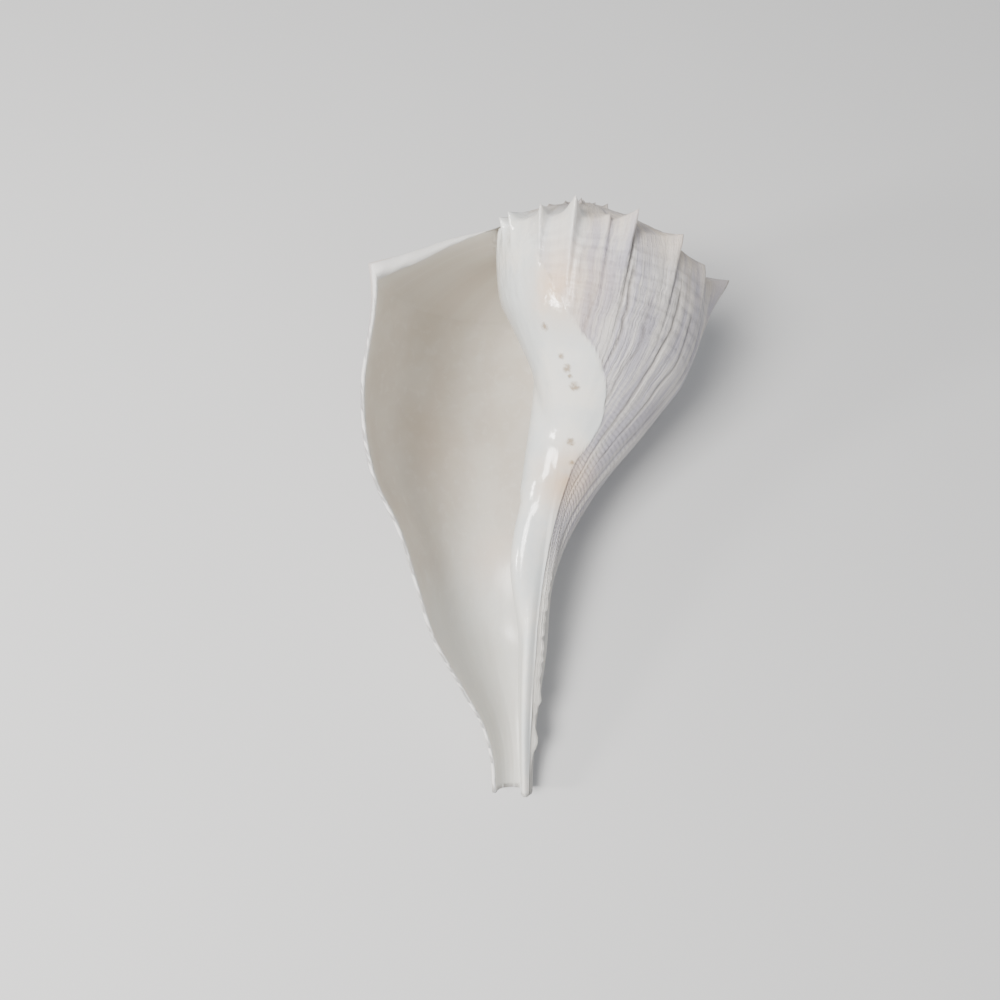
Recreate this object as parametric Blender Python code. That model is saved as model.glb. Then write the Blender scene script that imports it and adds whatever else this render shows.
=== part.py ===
"""Lightning whelk shell, lying on its back with the aperture up.

The shell is one closed solid, lofted along the coil. Its own frame has the coiling axis on Z,
with the canal tip at height 0 and the apex on top. A place on the coil is given by `back`, the
angle in degrees from the lip back along the coil towards the apex, and by a height. The coil is
left-handed, as on the real species. lay_down() then turns the finished solid onto its back.
"""
import math

import bmesh
import bpy
import numpy as np
from mathutils import Matrix

NAME = "whelk_shell"
MM = 0.001

# Coil, in millimetres and degrees
APEX_HEIGHT = 195.0
KEEL_AT_LIP = 159.0
WHORL_GROWTH = 2.158
KEEL_GROWTH = 2.44
LIP_AZIMUTH = 200.0
TURN = 360.0
SPIRE_TURNS = 4

# Radius of the body whorl by drop below the keel, at the size it has at the lip
BODY = [(0, 62), (5, 64), (18, 65.5), (32, 64.5), (48, 61), (64, 52), (80, 41.8), (96, 31), (112, 21.4),
        (130, 13.5), (150, 8), (175, 4.2), (210, 1.3), (260, 0.5)]
# Radius of the lip's edge by height above the canal tip
LIP = [(0, 11.5), (8, 11.9), (18, 14.2), (32, 22.6), (48, 33.2), (64, 39.8), (80, 46.8), (96, 56.9),
       (112, 62.2), (128, 64.2), (142, 63.7), (155, 62.7), (160, 62.2)]
LIP_FLARE = 52.0
# Radius of the columella by height, and its fold beside the canal
COLUMELLA = [(0, 1.5), (15, 2.1), (30, 2.8), (45, 3.4), (60, 4), (75, 5), (90, 6.5), (110, 11), (140, 13), (200, 14)]
FOLD = [(0, 1.4), (25, 2.2), (50, 2), (75, 1), (100, 0)]
COLUMELLA_LIMIT = 18.0
FOLD_BACK = 300.0
FOLD_WIDTH = 24.0
# Swell and hollow of the wall beside the aperture, by height
WALL = [(25, 0), (40, 3), (55, 8), (70, 9.5), (85, 8.5), (105, 2.5), (125, -4), (145, -6), (165, -5), (195, 0)]
WALL_BACK = 345.0
WALL_WIDTH = 60.0
BLEND = 3.0

# Canal: an open gutter that turns from the lip to the columella
CANAL_TOP = 82.0
CANAL_BASE = 42.0
CANAL_TURN = 205.0
CANAL_BEND = 6.7
BEND_TOP = 95.0

# Shoulder between suture and keel, as fractions of its width and fall
RAMP = [(0, 0), (0.25, 0.15), (0.5, 0.37), (0.7, 0.6), (0.85, 0.8), (1, 1)]

# Wall
WALL_THICKNESS = [(0, 1.3), (15, 2.1), (50, 3.2), (170, 3.2), (300, 2.2), (450, 1.5), (640, 1.2)]
INNER_DROP = 4.0
CORNER_DROP = 4.5
CORNER_RUN = 35.0
LUMEN_DEPTH = 640.0
LUMEN_GAP = 3.0

# Seam between the outside and the aperture's inner wall, by fraction of the way to the canal tip
SEAM = [(0, 360), (0.06, 357), (0.15, 340), (0.27, 305), (0.42, 272), (0.6, 262), (1, 268)]

# Shoulder spines: place on the coil, height and width factor
SPINES = [(2, 5, 0.8), (26, 8, 0.7), (50, 10, 0.8), (78, 14, 1.1), (108, 15, 1.1), (148, 8, 0.8),
          (190, 12.5, 0.62), (216, 2.5, 0.4), (243, 5, 0.42), (267, 7.5, 0.42), (277, 3, 0.3), (293, 8.5, 0.45),
          (311, 5, 0.35), (336, 4.5, 0.4), (349, 4, 0.35)]
SPINE_OLD_SIDE = 13.0
SPINE_YOUNG_SIDE = 5.0
SPINE_BELOW = 22.0
LIP_SPINE_CUT = 0.7
SPINE_ABOVE = 9.0
SPINE_OUT = 0.86
SPINE_UP = 0.42
SPIRE_SPINES = 0.8

# Rest pose: about the coiling axis, then the apex end up
REST_ROLL = -0.3
REST_TILT = 18.2

# Mesh
BODY_ROWS = 22
RAMP_ROWS = 6
LUMEN_COLUMNS = 30
COLUMN_STEP = 9.0
SPINE_STOPS = (-8.0, -3.5, 0.0, 7.2, 15.6)
FEWEST_COLUMNS = 30
HALVINGS = 4
ROW_CROWDING = 1.35
COLUMN_CROWDING = 1.4
SEAM_START = 200.0
WELD = 1e-6


def curve(points, x):
    """Smooth curve through a few points that never overshoots them."""
    xs, ys = (np.array(column, float) for column in zip(*points))
    run = np.diff(xs)
    slope = np.diff(ys) / run
    tangent = np.zeros(len(xs))
    tangent[0], tangent[-1] = slope[0], slope[-1]
    for i in range(1, len(xs) - 1):
        if slope[i - 1] * slope[i] > 0:
            before, after = 2 * run[i] + run[i - 1], run[i] + 2 * run[i - 1]
            tangent[i] = (before + after) / (before / slope[i - 1] + after / slope[i])
    x = np.clip(np.asarray(x, float), xs[0], xs[-1])
    i = np.clip(np.searchsorted(xs, x) - 1, 0, len(run) - 1)
    t = (x - xs[i]) / run[i]
    start = ys[i] * (1 + 2 * t) * (1 - t) ** 2 + tangent[i] * run[i] * t * (1 - t) ** 2
    end = ys[i + 1] * t * t * (3 - 2 * t) + tangent[i + 1] * run[i] * t * t * (t - 1)
    return start + end


def ease(x):
    """Smooth step from 0 to 1."""
    x = np.clip(x, 0, 1)
    return x * x * (3 - 2 * x)


def growth(back):
    """Size of the coil as a share of its size at the lip."""
    return WHORL_GROWTH ** (-back / TURN)


def keel_height(back):
    """Height of the keel, which carries the spines."""
    return APEX_HEIGHT - (APEX_HEIGHT - KEEL_AT_LIP) * KEEL_GROWTH ** (-back / TURN)


def columella_radius(back, height):
    fold = curve(FOLD, height) * np.exp(-((back - FOLD_BACK) / FOLD_WIDTH) ** 2)
    return np.minimum(curve(COLUMELLA, height), COLUMELLA_LIMIT * growth(back)) + fold


def outer_radius(back, height):
    """Radius of the shell's outside below the keel, without its spines."""
    size = growth(back)
    flare = np.exp(-(back / LIP_FLARE) ** 2)
    columella = columella_radius(back, height)
    body = size * curve(BODY, (keel_height(back) - height) / size)
    body = body * (1 - flare) + curve(LIP, height) * flare
    body = body + curve(WALL, height) * np.exp(-((back - WALL_BACK) / WALL_WIDTH) ** 2)
    blend = BLEND * growth(back)
    body = (body + columella + np.sqrt((body - columella) ** 2 + blend ** 2)) / 2
    opening = (1 + np.cos(np.pi * np.clip(back / CANAL_TURN, 0, 1))) / 2
    canal = columella + (curve(LIP, height) - columella) * opening
    share = ease((CANAL_TOP - height) / (CANAL_TOP - CANAL_BASE))
    return body * (1 - share) + canal * share


def inner_radius(back, height):
    """Radius of the aperture's outer wall, one wall thickness inside the outside."""
    thickness = curve(WALL_THICKNESS, back)
    slope = (outer_radius(back, height + 1) - outer_radius(back, height - 1)) / 2
    return outer_radius(back, height) - thickness * np.minimum(np.sqrt(1 + slope ** 2), 1.8)


def spine_height(back):
    """How far the spines stand off the keel, steep on the side towards the lip."""
    height = np.zeros_like(back)
    for turn in range(SPIRE_TURNS + 1):
        share = (SPIRE_SPINES if turn else 1) * growth(turn * TURN)
        for place, tall, wide in SPINES:
            x = (back - place - turn * TURN) / wide
            old = np.exp(-np.abs(x / SPINE_OLD_SIDE) ** 1.25)
            young = np.exp(-np.abs(x / SPINE_YOUNG_SIDE) ** 1.5)
            height = np.maximum(height, share * tall * np.where(x > 0, old, young))
    return height


def place(back, radius, height, relief):
    """Point of the shell from its place on the coil, pushed out by the relief."""
    radius, height = radius + SPINE_OUT * relief, height + SPINE_UP * relief
    azimuth = np.radians(LIP_AZIMUTH - back)
    bend = CANAL_BEND * np.clip((BEND_TOP - height) / BEND_TOP, 0, 1) ** 2
    return np.stack([radius * np.cos(azimuth) + bend, radius * np.sin(azimuth), height + 0 * azimuth], -1)


def fade(distance, reach):
    return np.exp(-(np.clip(distance, 0, None) / reach) ** 1.3)


def spine_reach(back):
    """How far the spines run down as ribs, least at the lip."""
    return SPINE_BELOW * (1 - LIP_SPINE_CUT * np.exp(-(back / 12) ** 2))


def corner_drop(back):
    """How far the lumen's upper corner lies below the suture, from nothing at the lip."""
    inside = back - TURN
    return CORNER_DROP * growth(np.maximum(inside, 0)) * ease(inside / CORNER_RUN)


def outer_point(back, q):
    """Outside below the keel. q runs from the keel, 0, to the canal tip, 1."""
    top = keel_height(back) - corner_drop(back)
    height = top * (1 - q)
    covered = np.exp(-(np.clip(back - TURN, 0, None) / 15) ** 2)
    relief = spine_height(back) * fade((keel_height(back) - height) / growth(back), spine_reach(back)) * covered
    return place(back, outer_radius(back, height), height, relief)


def ramp_profile(back, t):
    """Shoulder from the suture, t = 0, to the keel, t = 1."""
    outer_height, suture_height = keel_height(back), keel_height(back + TURN)
    outer, suture = outer_radius(back, outer_height), outer_radius(back + TURN, suture_height)
    radius = suture + (outer - suture) * t
    return radius, suture_height + (outer_height - suture_height) * curve(RAMP, t)


def ramp_point(back, t):
    radius, height = ramp_profile(back, t)
    outer, _ = ramp_profile(back, np.ones_like(t))
    suture, _ = ramp_profile(back, np.zeros_like(t))
    size = growth(back)
    own = spine_height(back) * fade((outer - radius) / size, SPINE_ABOVE) * ease(t / 0.4)
    previous = spine_height(back + TURN) * fade((radius - suture) / size, SPINE_ABOVE / 2) * ease((1 - t) / 0.6)
    return place(back, radius, height, own + previous)


def inner_top(back):
    return keel_height(back) - INNER_DROP * growth(back)


def inner_point(back, q):
    """Aperture's outer wall, q as for the outside."""
    height = inner_top(back) * (1 - q)
    spout = spine_height(back) * fade((keel_height(back) - height) / growth(back), spine_reach(back))
    spout = spout * np.exp(-(back / 12) ** 2)
    return place(back, inner_radius(back, height), height, spout)


def ceiling_point(back, f):
    """Inside of the shoulder, from the inner wall's top, f = 0, to the suture corner, f = 1."""
    top, corner = inner_top(back), keel_height(back + TURN) - corner_drop(back + TURN)
    start, end = inner_radius(back, top), outer_radius(back + TURN, corner)
    radius = start + (end - start) * f
    outer, outer_height = ramp_profile(back, np.ones_like(f))
    suture, suture_height = ramp_profile(back, np.zeros_like(f))

    def under_ramp(r):
        t = np.clip((r - suture) / (outer - suture), 0, 1)
        return suture_height + (outer_height - suture_height) * curve(RAMP, t)

    height = under_ramp(radius) + (1 - f) * (top - under_ramp(start)) + f * (corner - under_ramp(end))
    spout = spine_height(back) * np.exp(-(back / 12) ** 2) * (1 - ease(f / 0.35))
    corner_relief = spine_height(back + TURN) * fade(corner_drop(back + TURN) / growth(back + TURN), SPINE_BELOW)
    corner_relief = corner_relief * np.exp(-(back / 15) ** 2) * ease((f - 0.65) / 0.35)
    spout = spout * fade((keel_height(back) - top) / growth(back), spine_reach(back))
    return place(back, radius, height, spout + corner_relief)


def columns():
    """Angles of the mesh columns over one turn, with a column on each spine and beside it."""
    stops = {0.0, TURN}
    for spot, _, wide in SPINES:
        for side in SPINE_STOPS:
            stops.add(spot + side * wide)
    stops = sorted(s for s in stops if 0 <= s <= TURN)
    kept = [stops[0]]
    peaks = {spot for spot, _, _ in SPINES} | {TURN}
    for stop in stops[1:]:
        if stop - kept[-1] < 1.8:
            if stop not in peaks:
                continue
            if kept[-1] not in peaks and len(kept) > 1:
                kept.pop()
        parts = math.ceil((stop - kept[-1]) / COLUMN_STEP)
        kept += list(np.linspace(kept[-1], stop, parts + 1)[1:])
    while (len(kept) - 1) % HALVINGS:
        widest = int(np.argmax(np.diff(kept)))
        kept.insert(widest + 1, (kept[widest] + kept[widest + 1]) / 2)
    return np.array(kept)


def lumen_ends(rows):
    """Angle at which the lumen closes, row by row, where its two walls come together."""
    back = np.arange(20.0, LUMEN_DEPTH + 1, 2.0)
    ends = np.full(len(rows), LUMEN_DEPTH)
    for i, q in enumerate(rows):
        height = inner_top(back) * (1 - q)
        narrow = inner_radius(back, height) - outer_radius(back + TURN, height) < LUMEN_GAP
        if narrow.any():
            ends[i] = back[narrow.argmax()]
    for _ in range(3):
        middle = (ends[:-2] + 2 * ends[1:-1] + ends[2:]) / 4
        ends[1:-1] = np.minimum(middle, ends[1:-1])
    return ends


def body_grid(rows, seam, across):
    """Outside of the body whorl. Below the shoulder its columns crowd together towards the seam."""
    squeezed = SEAM_START + (across - SEAM_START) * (seam[:, None] - SEAM_START) / (TURN - SEAM_START)
    back = np.where(across < SEAM_START, across + 0 * squeezed, squeezed)
    return outer_point(back, rows[:, None] + 0 * back)


def add_grid(mesh, points):
    """Quads between the points of a grid."""
    rows = [[mesh.verts.new(point * MM) for point in row] for row in points]
    for above, below in zip(rows, rows[1:]):
        for i in range(len(above) - 1):
            mesh.faces.new((above[i], above[i + 1], below[i + 1], below[i]))


def add_face(mesh, points):
    mesh.faces.new([mesh.verts.new(point * MM) for point in points])


def add_spire(mesh, first_columns):
    """Shoulders of the earlier turns, each with half the columns of the one before, and the apex."""
    t = np.linspace(1, 0, RAMP_ROWS)[:, None]
    across = first_columns
    for turn in range(SPIRE_TURNS + 1):
        back = across + turn * TURN
        points = ramp_point(back + 0 * t, t + 0 * back)
        add_grid(mesh, points[:-1])
        fewer = across[::2] if len(across) > FEWEST_COLUMNS else across
        suture = ramp_point(fewer + turn * TURN, 0 * fewer)
        add_strip(mesh, points[-2], suture)
        across = fewer
    top = np.array([0, 0, keel_height(back[-1] + TURN)])
    rim = np.concatenate([suture, points[-2::-1, -1]])
    for a, b in zip(rim, rim[1:]):
        add_face(mesh, (a, b, top))


def add_strip(mesh, fine, coarse):
    """Triangles between a row of points and one with as many or half as many segments."""
    ratio = (len(fine) - 1) // (len(coarse) - 1)
    for i in range(len(coarse) - 1):
        edge = fine[i * ratio:(i + 1) * ratio + 1]
        if ratio == 1:
            add_face(mesh, (edge[0], edge[1], coarse[i + 1], coarse[i]))
            continue
        add_face(mesh, (edge[0], edge[1], coarse[i]))
        add_face(mesh, (coarse[i], edge[1], coarse[i + 1]))
        add_face(mesh, (edge[1], edge[2], coarse[i + 1]))


def shell_mesh():
    """The whole surface: outside, spire, the lumen's two walls and ceiling, its end and the edges."""
    mesh = bmesh.new()
    rows = np.linspace(0, 1, BODY_ROWS) ** ROW_CROWDING
    seam = curve(SEAM, rows)
    across = columns()
    body = body_grid(rows, seam, across)
    add_grid(mesh, body)
    add_spire(mesh, across)

    ends = lumen_ends(rows)
    share = np.linspace(0, 1, LUMEN_COLUMNS) ** COLUMN_CROWDING
    q = rows[:, None] + 0 * share
    outer_wall = inner_point(ends[:, None] * share, q)
    inner_wall = outer_point(seam[:, None] + (ends + TURN - seam)[:, None] * share, q)
    f = np.linspace(0, 1, RAMP_ROWS)[:, None] + 0 * share
    ceiling = ceiling_point(LUMEN_DEPTH * share + 0 * f, f)
    for points in (outer_wall, inner_wall, ceiling):
        add_grid(mesh, points)

    ramp_edge = ramp_point(np.zeros(RAMP_ROWS), np.linspace(1, 0, RAMP_ROWS))
    add_grid(mesh, np.stack([body[:, 0], outer_wall[:, 0]]))
    add_grid(mesh, np.stack([ramp_edge, ceiling[:, 0]]))
    add_grid(mesh, np.stack([outer_wall[:, -1], inner_wall[:, -1]]))
    add_face(mesh, ceiling[:, -1])
    add_face(mesh, np.concatenate([body[-1], inner_wall[-1, 1:], outer_wall[-1, ::-1]]))

    bmesh.ops.remove_doubles(mesh, verts=mesh.verts, dist=WELD)
    bmesh.ops.triangulate(mesh, faces=mesh.faces)
    bmesh.ops.dissolve_degenerate(mesh, edges=mesh.edges, dist=WELD)
    bmesh.ops.recalc_face_normals(mesh, faces=mesh.faces)
    return mesh


def shell_material():
    material = bpy.data.materials.new("bleached_shell")
    material.use_nodes = True
    shader = material.node_tree.nodes["Principled BSDF"]
    shader.inputs["Base Color"].default_value = (0.83, 0.79, 0.74, 1)
    shader.inputs["Roughness"].default_value = 0.42
    shader.inputs["Metallic"].default_value = 0.0
    return material


def lay_down(shell):
    """Turn the shell onto its back, then stand it on the floor with its box centred on the origin."""
    turn = Matrix.Rotation(math.radians(REST_TILT), 4, "X") @ Matrix.Rotation(math.radians(REST_ROLL), 4, "Y")
    turn = turn @ Matrix.Rotation(math.radians(-90), 4, "X")
    corners = np.array([turn @ vertex.co for vertex in shell.data.vertices])
    low, high = corners.min(axis=0), corners.max(axis=0)
    middle = (low + high) / 2
    shell.matrix_world = Matrix.Translation((-middle[0], -middle[1], -low[2])) @ turn


def main():
    for old in list(bpy.data.objects):
        bpy.data.objects.remove(old, do_unlink=True)
    collection = bpy.data.collections.new("whelk")
    bpy.context.scene.collection.children.link(collection)
    data = bpy.data.meshes.new(NAME)
    mesh = shell_mesh()
    mesh.to_mesh(data)
    mesh.free()
    data.shade_smooth()
    data.set_sharp_from_angle(angle=math.radians(40))
    shell = bpy.data.objects.new(NAME, data)
    collection.objects.link(shell)
    data.materials.append(shell_material())
    lay_down(shell)


main()
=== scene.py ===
"""Lightning whelk shell, lying on its back with the aperture up: the visual model.

The surface follows the same coil as the solid, with a finer mesh, slimmer spine tips and the relief
that the solid leaves out: growth ridges, flutes beside the spines, crevices, the callus edge and its
lumps, the wrinkled ridge beside the canal and the crinkled lip.
"""
import math

import bmesh
import bpy
import numpy as np
from mathutils import Euler, Matrix, Vector


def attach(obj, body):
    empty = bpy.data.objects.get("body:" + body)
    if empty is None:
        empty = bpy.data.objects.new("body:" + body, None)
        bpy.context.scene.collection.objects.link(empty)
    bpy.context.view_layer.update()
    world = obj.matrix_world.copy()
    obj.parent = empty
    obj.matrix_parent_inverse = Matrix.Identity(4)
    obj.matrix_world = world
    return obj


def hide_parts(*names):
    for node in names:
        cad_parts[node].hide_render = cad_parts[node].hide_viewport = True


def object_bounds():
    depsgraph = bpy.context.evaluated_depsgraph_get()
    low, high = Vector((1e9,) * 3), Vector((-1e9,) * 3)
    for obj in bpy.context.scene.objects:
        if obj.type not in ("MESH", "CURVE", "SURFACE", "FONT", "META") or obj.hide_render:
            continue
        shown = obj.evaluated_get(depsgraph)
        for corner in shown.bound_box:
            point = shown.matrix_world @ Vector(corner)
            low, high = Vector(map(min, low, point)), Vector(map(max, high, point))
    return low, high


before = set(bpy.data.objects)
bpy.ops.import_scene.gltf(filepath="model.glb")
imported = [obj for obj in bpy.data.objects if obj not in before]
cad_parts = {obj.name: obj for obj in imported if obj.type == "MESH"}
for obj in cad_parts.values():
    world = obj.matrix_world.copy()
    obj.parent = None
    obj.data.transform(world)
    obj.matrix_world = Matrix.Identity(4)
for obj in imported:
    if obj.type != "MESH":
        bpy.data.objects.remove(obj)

cad_low, cad_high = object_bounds()
NODE = "whelk_shell"
MM = 0.001

# Coil, in millimetres and degrees
APEX_HEIGHT = 195.0
KEEL_AT_LIP = 159.0
WHORL_GROWTH = 2.158
KEEL_GROWTH = 2.44
LIP_AZIMUTH = 200.0
TURN = 360.0
SPIRE_TURNS = 4

# Radius of the body whorl by drop below the keel, at the size it has at the lip
BODY = [(0, 62), (5, 64), (18, 65.5), (32, 64.5), (48, 61), (64, 52), (80, 41.8), (96, 31), (112, 21.4),
        (130, 13.5), (150, 8), (175, 4.2), (210, 1.3), (260, 0.5)]
# Radius of the lip's edge by height above the canal tip
LIP = [(0, 11.5), (8, 11.9), (18, 14.2), (32, 22.6), (48, 33.2), (64, 39.8), (80, 46.8), (96, 56.9),
       (112, 62.2), (128, 64.2), (142, 63.7), (155, 62.7), (160, 62.2)]
LIP_FLARE = 52.0
# Radius of the columella by height, and its fold beside the canal
COLUMELLA = [(0, 1.5), (15, 2.1), (30, 2.8), (45, 3.4), (60, 4), (75, 5), (90, 6.5), (110, 11), (140, 13),
             (200, 14)]
FOLD = [(0, 1.4), (25, 2.2), (50, 2), (75, 1), (100, 0)]
COLUMELLA_LIMIT = 18.0
FOLD_BACK = 300.0
FOLD_WIDTH = 24.0
# Swell and hollow of the wall beside the aperture, by height
WALL = [(25, 0), (40, 3), (55, 8), (70, 9.5), (85, 8.5), (105, 2.5), (125, -4), (145, -6), (165, -5),
        (195, 0)]
WALL_BACK = 345.0
WALL_WIDTH = 60.0
BLEND = 3.0

# Canal: an open gutter that turns from the lip to the columella
CANAL_TOP = 82.0
CANAL_BASE = 42.0
CANAL_TURN = 205.0
CANAL_BEND = 6.7
BEND_TOP = 95.0

# Shoulder between suture and keel, as fractions of its width and fall
RAMP = [(0, 0), (0.25, 0.15), (0.5, 0.37), (0.7, 0.6), (0.85, 0.8), (1, 1)]

# Wall
WALL_THICKNESS = [(0, 1.3), (15, 2.1), (50, 3.2), (170, 3.2), (300, 2.2), (450, 1.5), (640, 1.2)]
WALL_SLANT_LIMIT = 1.8
INNER_DROP = 4.0
CORNER_DROP = 4.5
CORNER_RUN = 35.0
LUMEN_DEPTH = 640.0
LUMEN_GAP = 3.0
LUMEN_START = 20.0
LUMEN_STEP = 2.0
LUMEN_SMOOTHINGS = 3
# How soon the turn below and its spines are covered, past the lip
COVER_RUN = 15.0

# Seam between the outside and the aperture's inner wall, by fraction of the way to the canal tip
SEAM = [(0, 360), (0.06, 357), (0.15, 340), (0.27, 305), (0.42, 272), (0.6, 262), (1, 268)]

# Shoulder spines: place on the coil, height and width factor
SPINES = [(2, 5, 0.8), (26, 8, 0.7), (50, 10, 0.8), (78, 14, 1.1), (108, 15, 1.1), (148, 8, 0.8),
          (190, 12.5, 0.62), (216, 2.5, 0.4), (243, 5, 0.42), (267, 7.5, 0.42), (277, 3, 0.3),
          (293, 8.5, 0.45), (311, 5, 0.35), (336, 4.5, 0.4), (349, 4, 0.35)]
SPINE_OLD_SIDE = 13.0
SPINE_OLD_POWER = 1.25
SPINE_YOUNG_SIDE = 5.0
SPINE_YOUNG_POWER = 1.5
SPINE_BELOW = 22.0
SPINE_ABOVE = 9.0
SPINE_FADE_POWER = 1.3
SPINE_OUT = 0.86
SPINE_UP = 0.42
SPIRE_SPINES = 0.8
LIP_SPINE_CUT = 0.7
LIP_SPINE_WIDTH = 12.0
# Share of the shoulder, from either side, over which its spines and those of the turn above fade
OWN_FADE = 0.4
PREVIOUS_FADE = 0.6
CEILING_FADE = 0.35
# Pointed tips of the spines: share of their height, where they start on the coil, and how far they run
SPINE_TIP = 0.5
TIP_FROM = 165.0
TIP_RUN = 20.0
TIP_BELOW = 8.0
TIP_ABOVE = 4.0
TIP_NARROW = 0.65

# Rest pose: about the coiling axis, then the apex end up
REST_ROLL = -0.3
REST_TILT = 18.2

# Mesh
COLUMN_STEP = 9.0
SPINE_STOPS = (-8.0, -3.5, 0.0, 7.2, 15.6)
HALVINGS = 4
STOP_SPACING = 1.8
COLUMN_CROWDING = 1.4
SEAM_START = 200.0

# Fine mesh
FINE_ROWS = 120
ROW_CROWDING = 1.2
FINE_RAMP_ROWS = 15
FINE_LUMEN_COLUMNS = 84
FINENESS = 4
CEILING_ROWS = 15
FEWEST_SPIRE_COLUMNS = 90
WELD = 2e-6
# How far apart the rows of a noise over a plane lie along its line
ROW_SHIFT = 37

# Relief, in millimetres and degrees. A wave is its length, how far it goes and its seed.
GROWTH_RIDGES = [(7.0, 0.26, 1), (3.1, 0.20, 2), (1.7, 0.09, 3)]
GROWTH_WAVER = [(26.0, 1.4, 21), (8.0, 0.5, 22)]
# Towards the canal tip: where the relief calms, the ridges' share there, and where the colour turns pale
BASE_CALM = 30.0
BASE_RIDGES = 0.4
BASE_PALE = 92.0
BASE_PALE_RUN = 26.0
FLUTE_DEPTH = 1.3
FLUTE_AHEAD = 5.0
FLUTE_WIDTH = 1.7
FLUTE_REACH = 62.0
FLUTE_FADE_POWER = 1.6
FLUTED_SPINE = 7.0
# Unevenness of the whole outside, and its lengths along the coil and down
UNEVEN = 0.28
UNEVEN_LENGTHS = (11.0, 13.0)
# Share of the way to the canal tip that stays smooth below the keel
KEEL_SMOOTH = 0.04
# Crevices: place on the coil, height of the top, length, strength
CREASES = [(286, 172, 40, 1.0), (280, 160, 26, 0.7), (262, 168, 62, 0.9), (251, 160, 50, 0.7),
           (236, 165, 75, 0.8), (222, 160, 60, 0.7), (206, 162, 90, 0.6), (183, 160, 80, 0.7),
           (164, 158, 90, 0.7), (140, 150, 70, 0.5), (122, 155, 90, 0.7), (96, 150, 80, 0.6),
           (66, 150, 90, 0.6), (40, 150, 100, 0.6), (20, 140, 100, 0.4)]
CREASE_WIDTH = 0.95
CREASE_WAVER = [(9.0, 1.1), (3.2, 0.5)]
CREASE_TOP_FADE = 5.0
CREASE_END_FADE = 12.0

# Lip: the waves of its edge, how far back they reach, and how round the rim is
LIP_WAVES = [(4.2, 0.42, 5), (2.6, 0.147, 6), (9.0, 0.45, 7)]
LIP_REACH = 4.0
RIM_REACH = 1.5
RIM_ROUND = 0.42
RIM_THICKEST = 2.0
RAMP_LIP = 60.0
# Share of the edge, at either end, where the crinkle fades: below the shoulder and along it
LIP_END_FADE = 0.05
RAMP_END_FADE = 0.1

# Glossy callus: its edge, as a place on the coil by height
CALLUS = [(0, 262), (45, 262), (64, 264), (77, 262), (90, 254), (106, 251), (120, 244), (131, 255),
          (143, 275), (153, 294), (165, 310), (178, 320)]
CALLUS_TOP = 178.0
CALLUS_WAVER = [(7.0, 1.6, 11), (2.6, 0.7, 12)]
CALLUS_EDGE = 1.6
CALLUS_STEP = 0.5
# Groove along the edge: depth, and the callus share where it is deepest, its width and its end
CALLUS_LINE = 0.55
CALLUS_LINE_SHARES = (0.25, 0.2, 0.95)
# Where the callus smooths the ribs, how widely and how much
CALLUS_SMOOTH_BACK = 345.0
CALLUS_SMOOTH_WIDTH = 20.0
CALLUS_SMOOTH = 0.86
# Thin glaze beyond the callus, up to the crevice: place on the coil, height where it starts, strength
THIN_GLAZE = (284.0, 140.0, 0.6)
THIN_GLAZE_EDGES = (5.0, 12.0)
# Lumps of the callus: height, lengths along the coil and down, share on its lower part, where they grow
LUMPS = 0.12
LUMP_LENGTHS = (3.2, 3.6)
LUMPS_LOW = 0.3
LUMPS_FROM = 95.0
LUMPS_RUN = 30.0
# Where the glossy inner edge gives way to the satin inside, by height
DEEP = [(0, 290), (40, 305), (70, 330), (100, 372), (130, 385), (160, 380)]
DEEP_EDGE = 22.0

# Lumen: soft wave of its outer wall with the fades at its two ends, and those of the inner wall's relief
SOFT_WAVE = (6.0, 0.10, 51)
SOFT_FADES = (8.0, 20.0)
SEAM_NEAR = 12.0
LUMEN_END_FADE = 30.0

# Twisted ridge below the callus: wrinkles across it, its swell, and its knobs by coil, height and size
RIDGE_BACK = 238.0
WRINKLE_BAND = [(22, 0), (30, 0.45), (50, 0.6), (66, 0.5), (78, 0)]
WRINKLE_LENGTH = 4.4
WRINKLE_WIDTH = 17.0
WRINKLE_WAVER = (6.0, 1.5, 41)
RIDGE_SWELL = [(6, 0), (20, 1.0), (45, 1.9), (70, 1.7), (95, 0)]
RIDGE_SWELL_WIDTH = 22.0
KNOBS = [(224, 32, 1.5), (226, 18, 1.9), (232, 47, 0.7)]
KNOB_ALONG = 13.0
KNOB_DOWN = 3.4

# Spire: shade in the sutures, ridges, flutes and threads, and how the relief leans out and up.
# SPIRE_DROP is the drop below the keel that the colours take for the sutures; from it they paint shade on the
# shoulders, darker towards the sutures.
SUTURE_SHADE = 0.45
SUTURE_WIDTH = 0.09
SPIRE_DROP = -30.0
SPIRE_GLAZE_FROM = 0.4
SPIRE_ENDS = (0.12, 0.08)
SPIRE_RIDGE_HEIGHT = 30.0
SPIRE_FLUTE_DEPTH = 0.7
SPIRE_THREAD = 0.12
SPIRE_THREADS = 38.0
SPIRE_LEAN = (0.5, 0.8)

# Colours
COOL = (0.49, 0.465, 0.52)
PALE = (0.71, 0.675, 0.65)
LINE = (0.40, 0.375, 0.40)
CREAM = (0.78, 0.67, 0.54)
# Painted shade in the grooves, crevices, the groove along the callus edge and the sutures
GROOVE_SHADE = (0.20, 0.175, 0.165)
BLUISH = (0.73, 0.755, 0.745)
PORCELAIN = (0.86, 0.835, 0.775)
# Painted shade on the spire's shoulders, darker towards the sutures
SHADE = (0.46, 0.44, 0.44)
TAN = (0.80, 0.52, 0.30)
BROWN = (0.28, 0.18, 0.09)
BEIGE = (0.71, 0.65, 0.565)
IVORY = (0.76, 0.715, 0.635)
RIM = (0.88, 0.87, 0.85)
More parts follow.
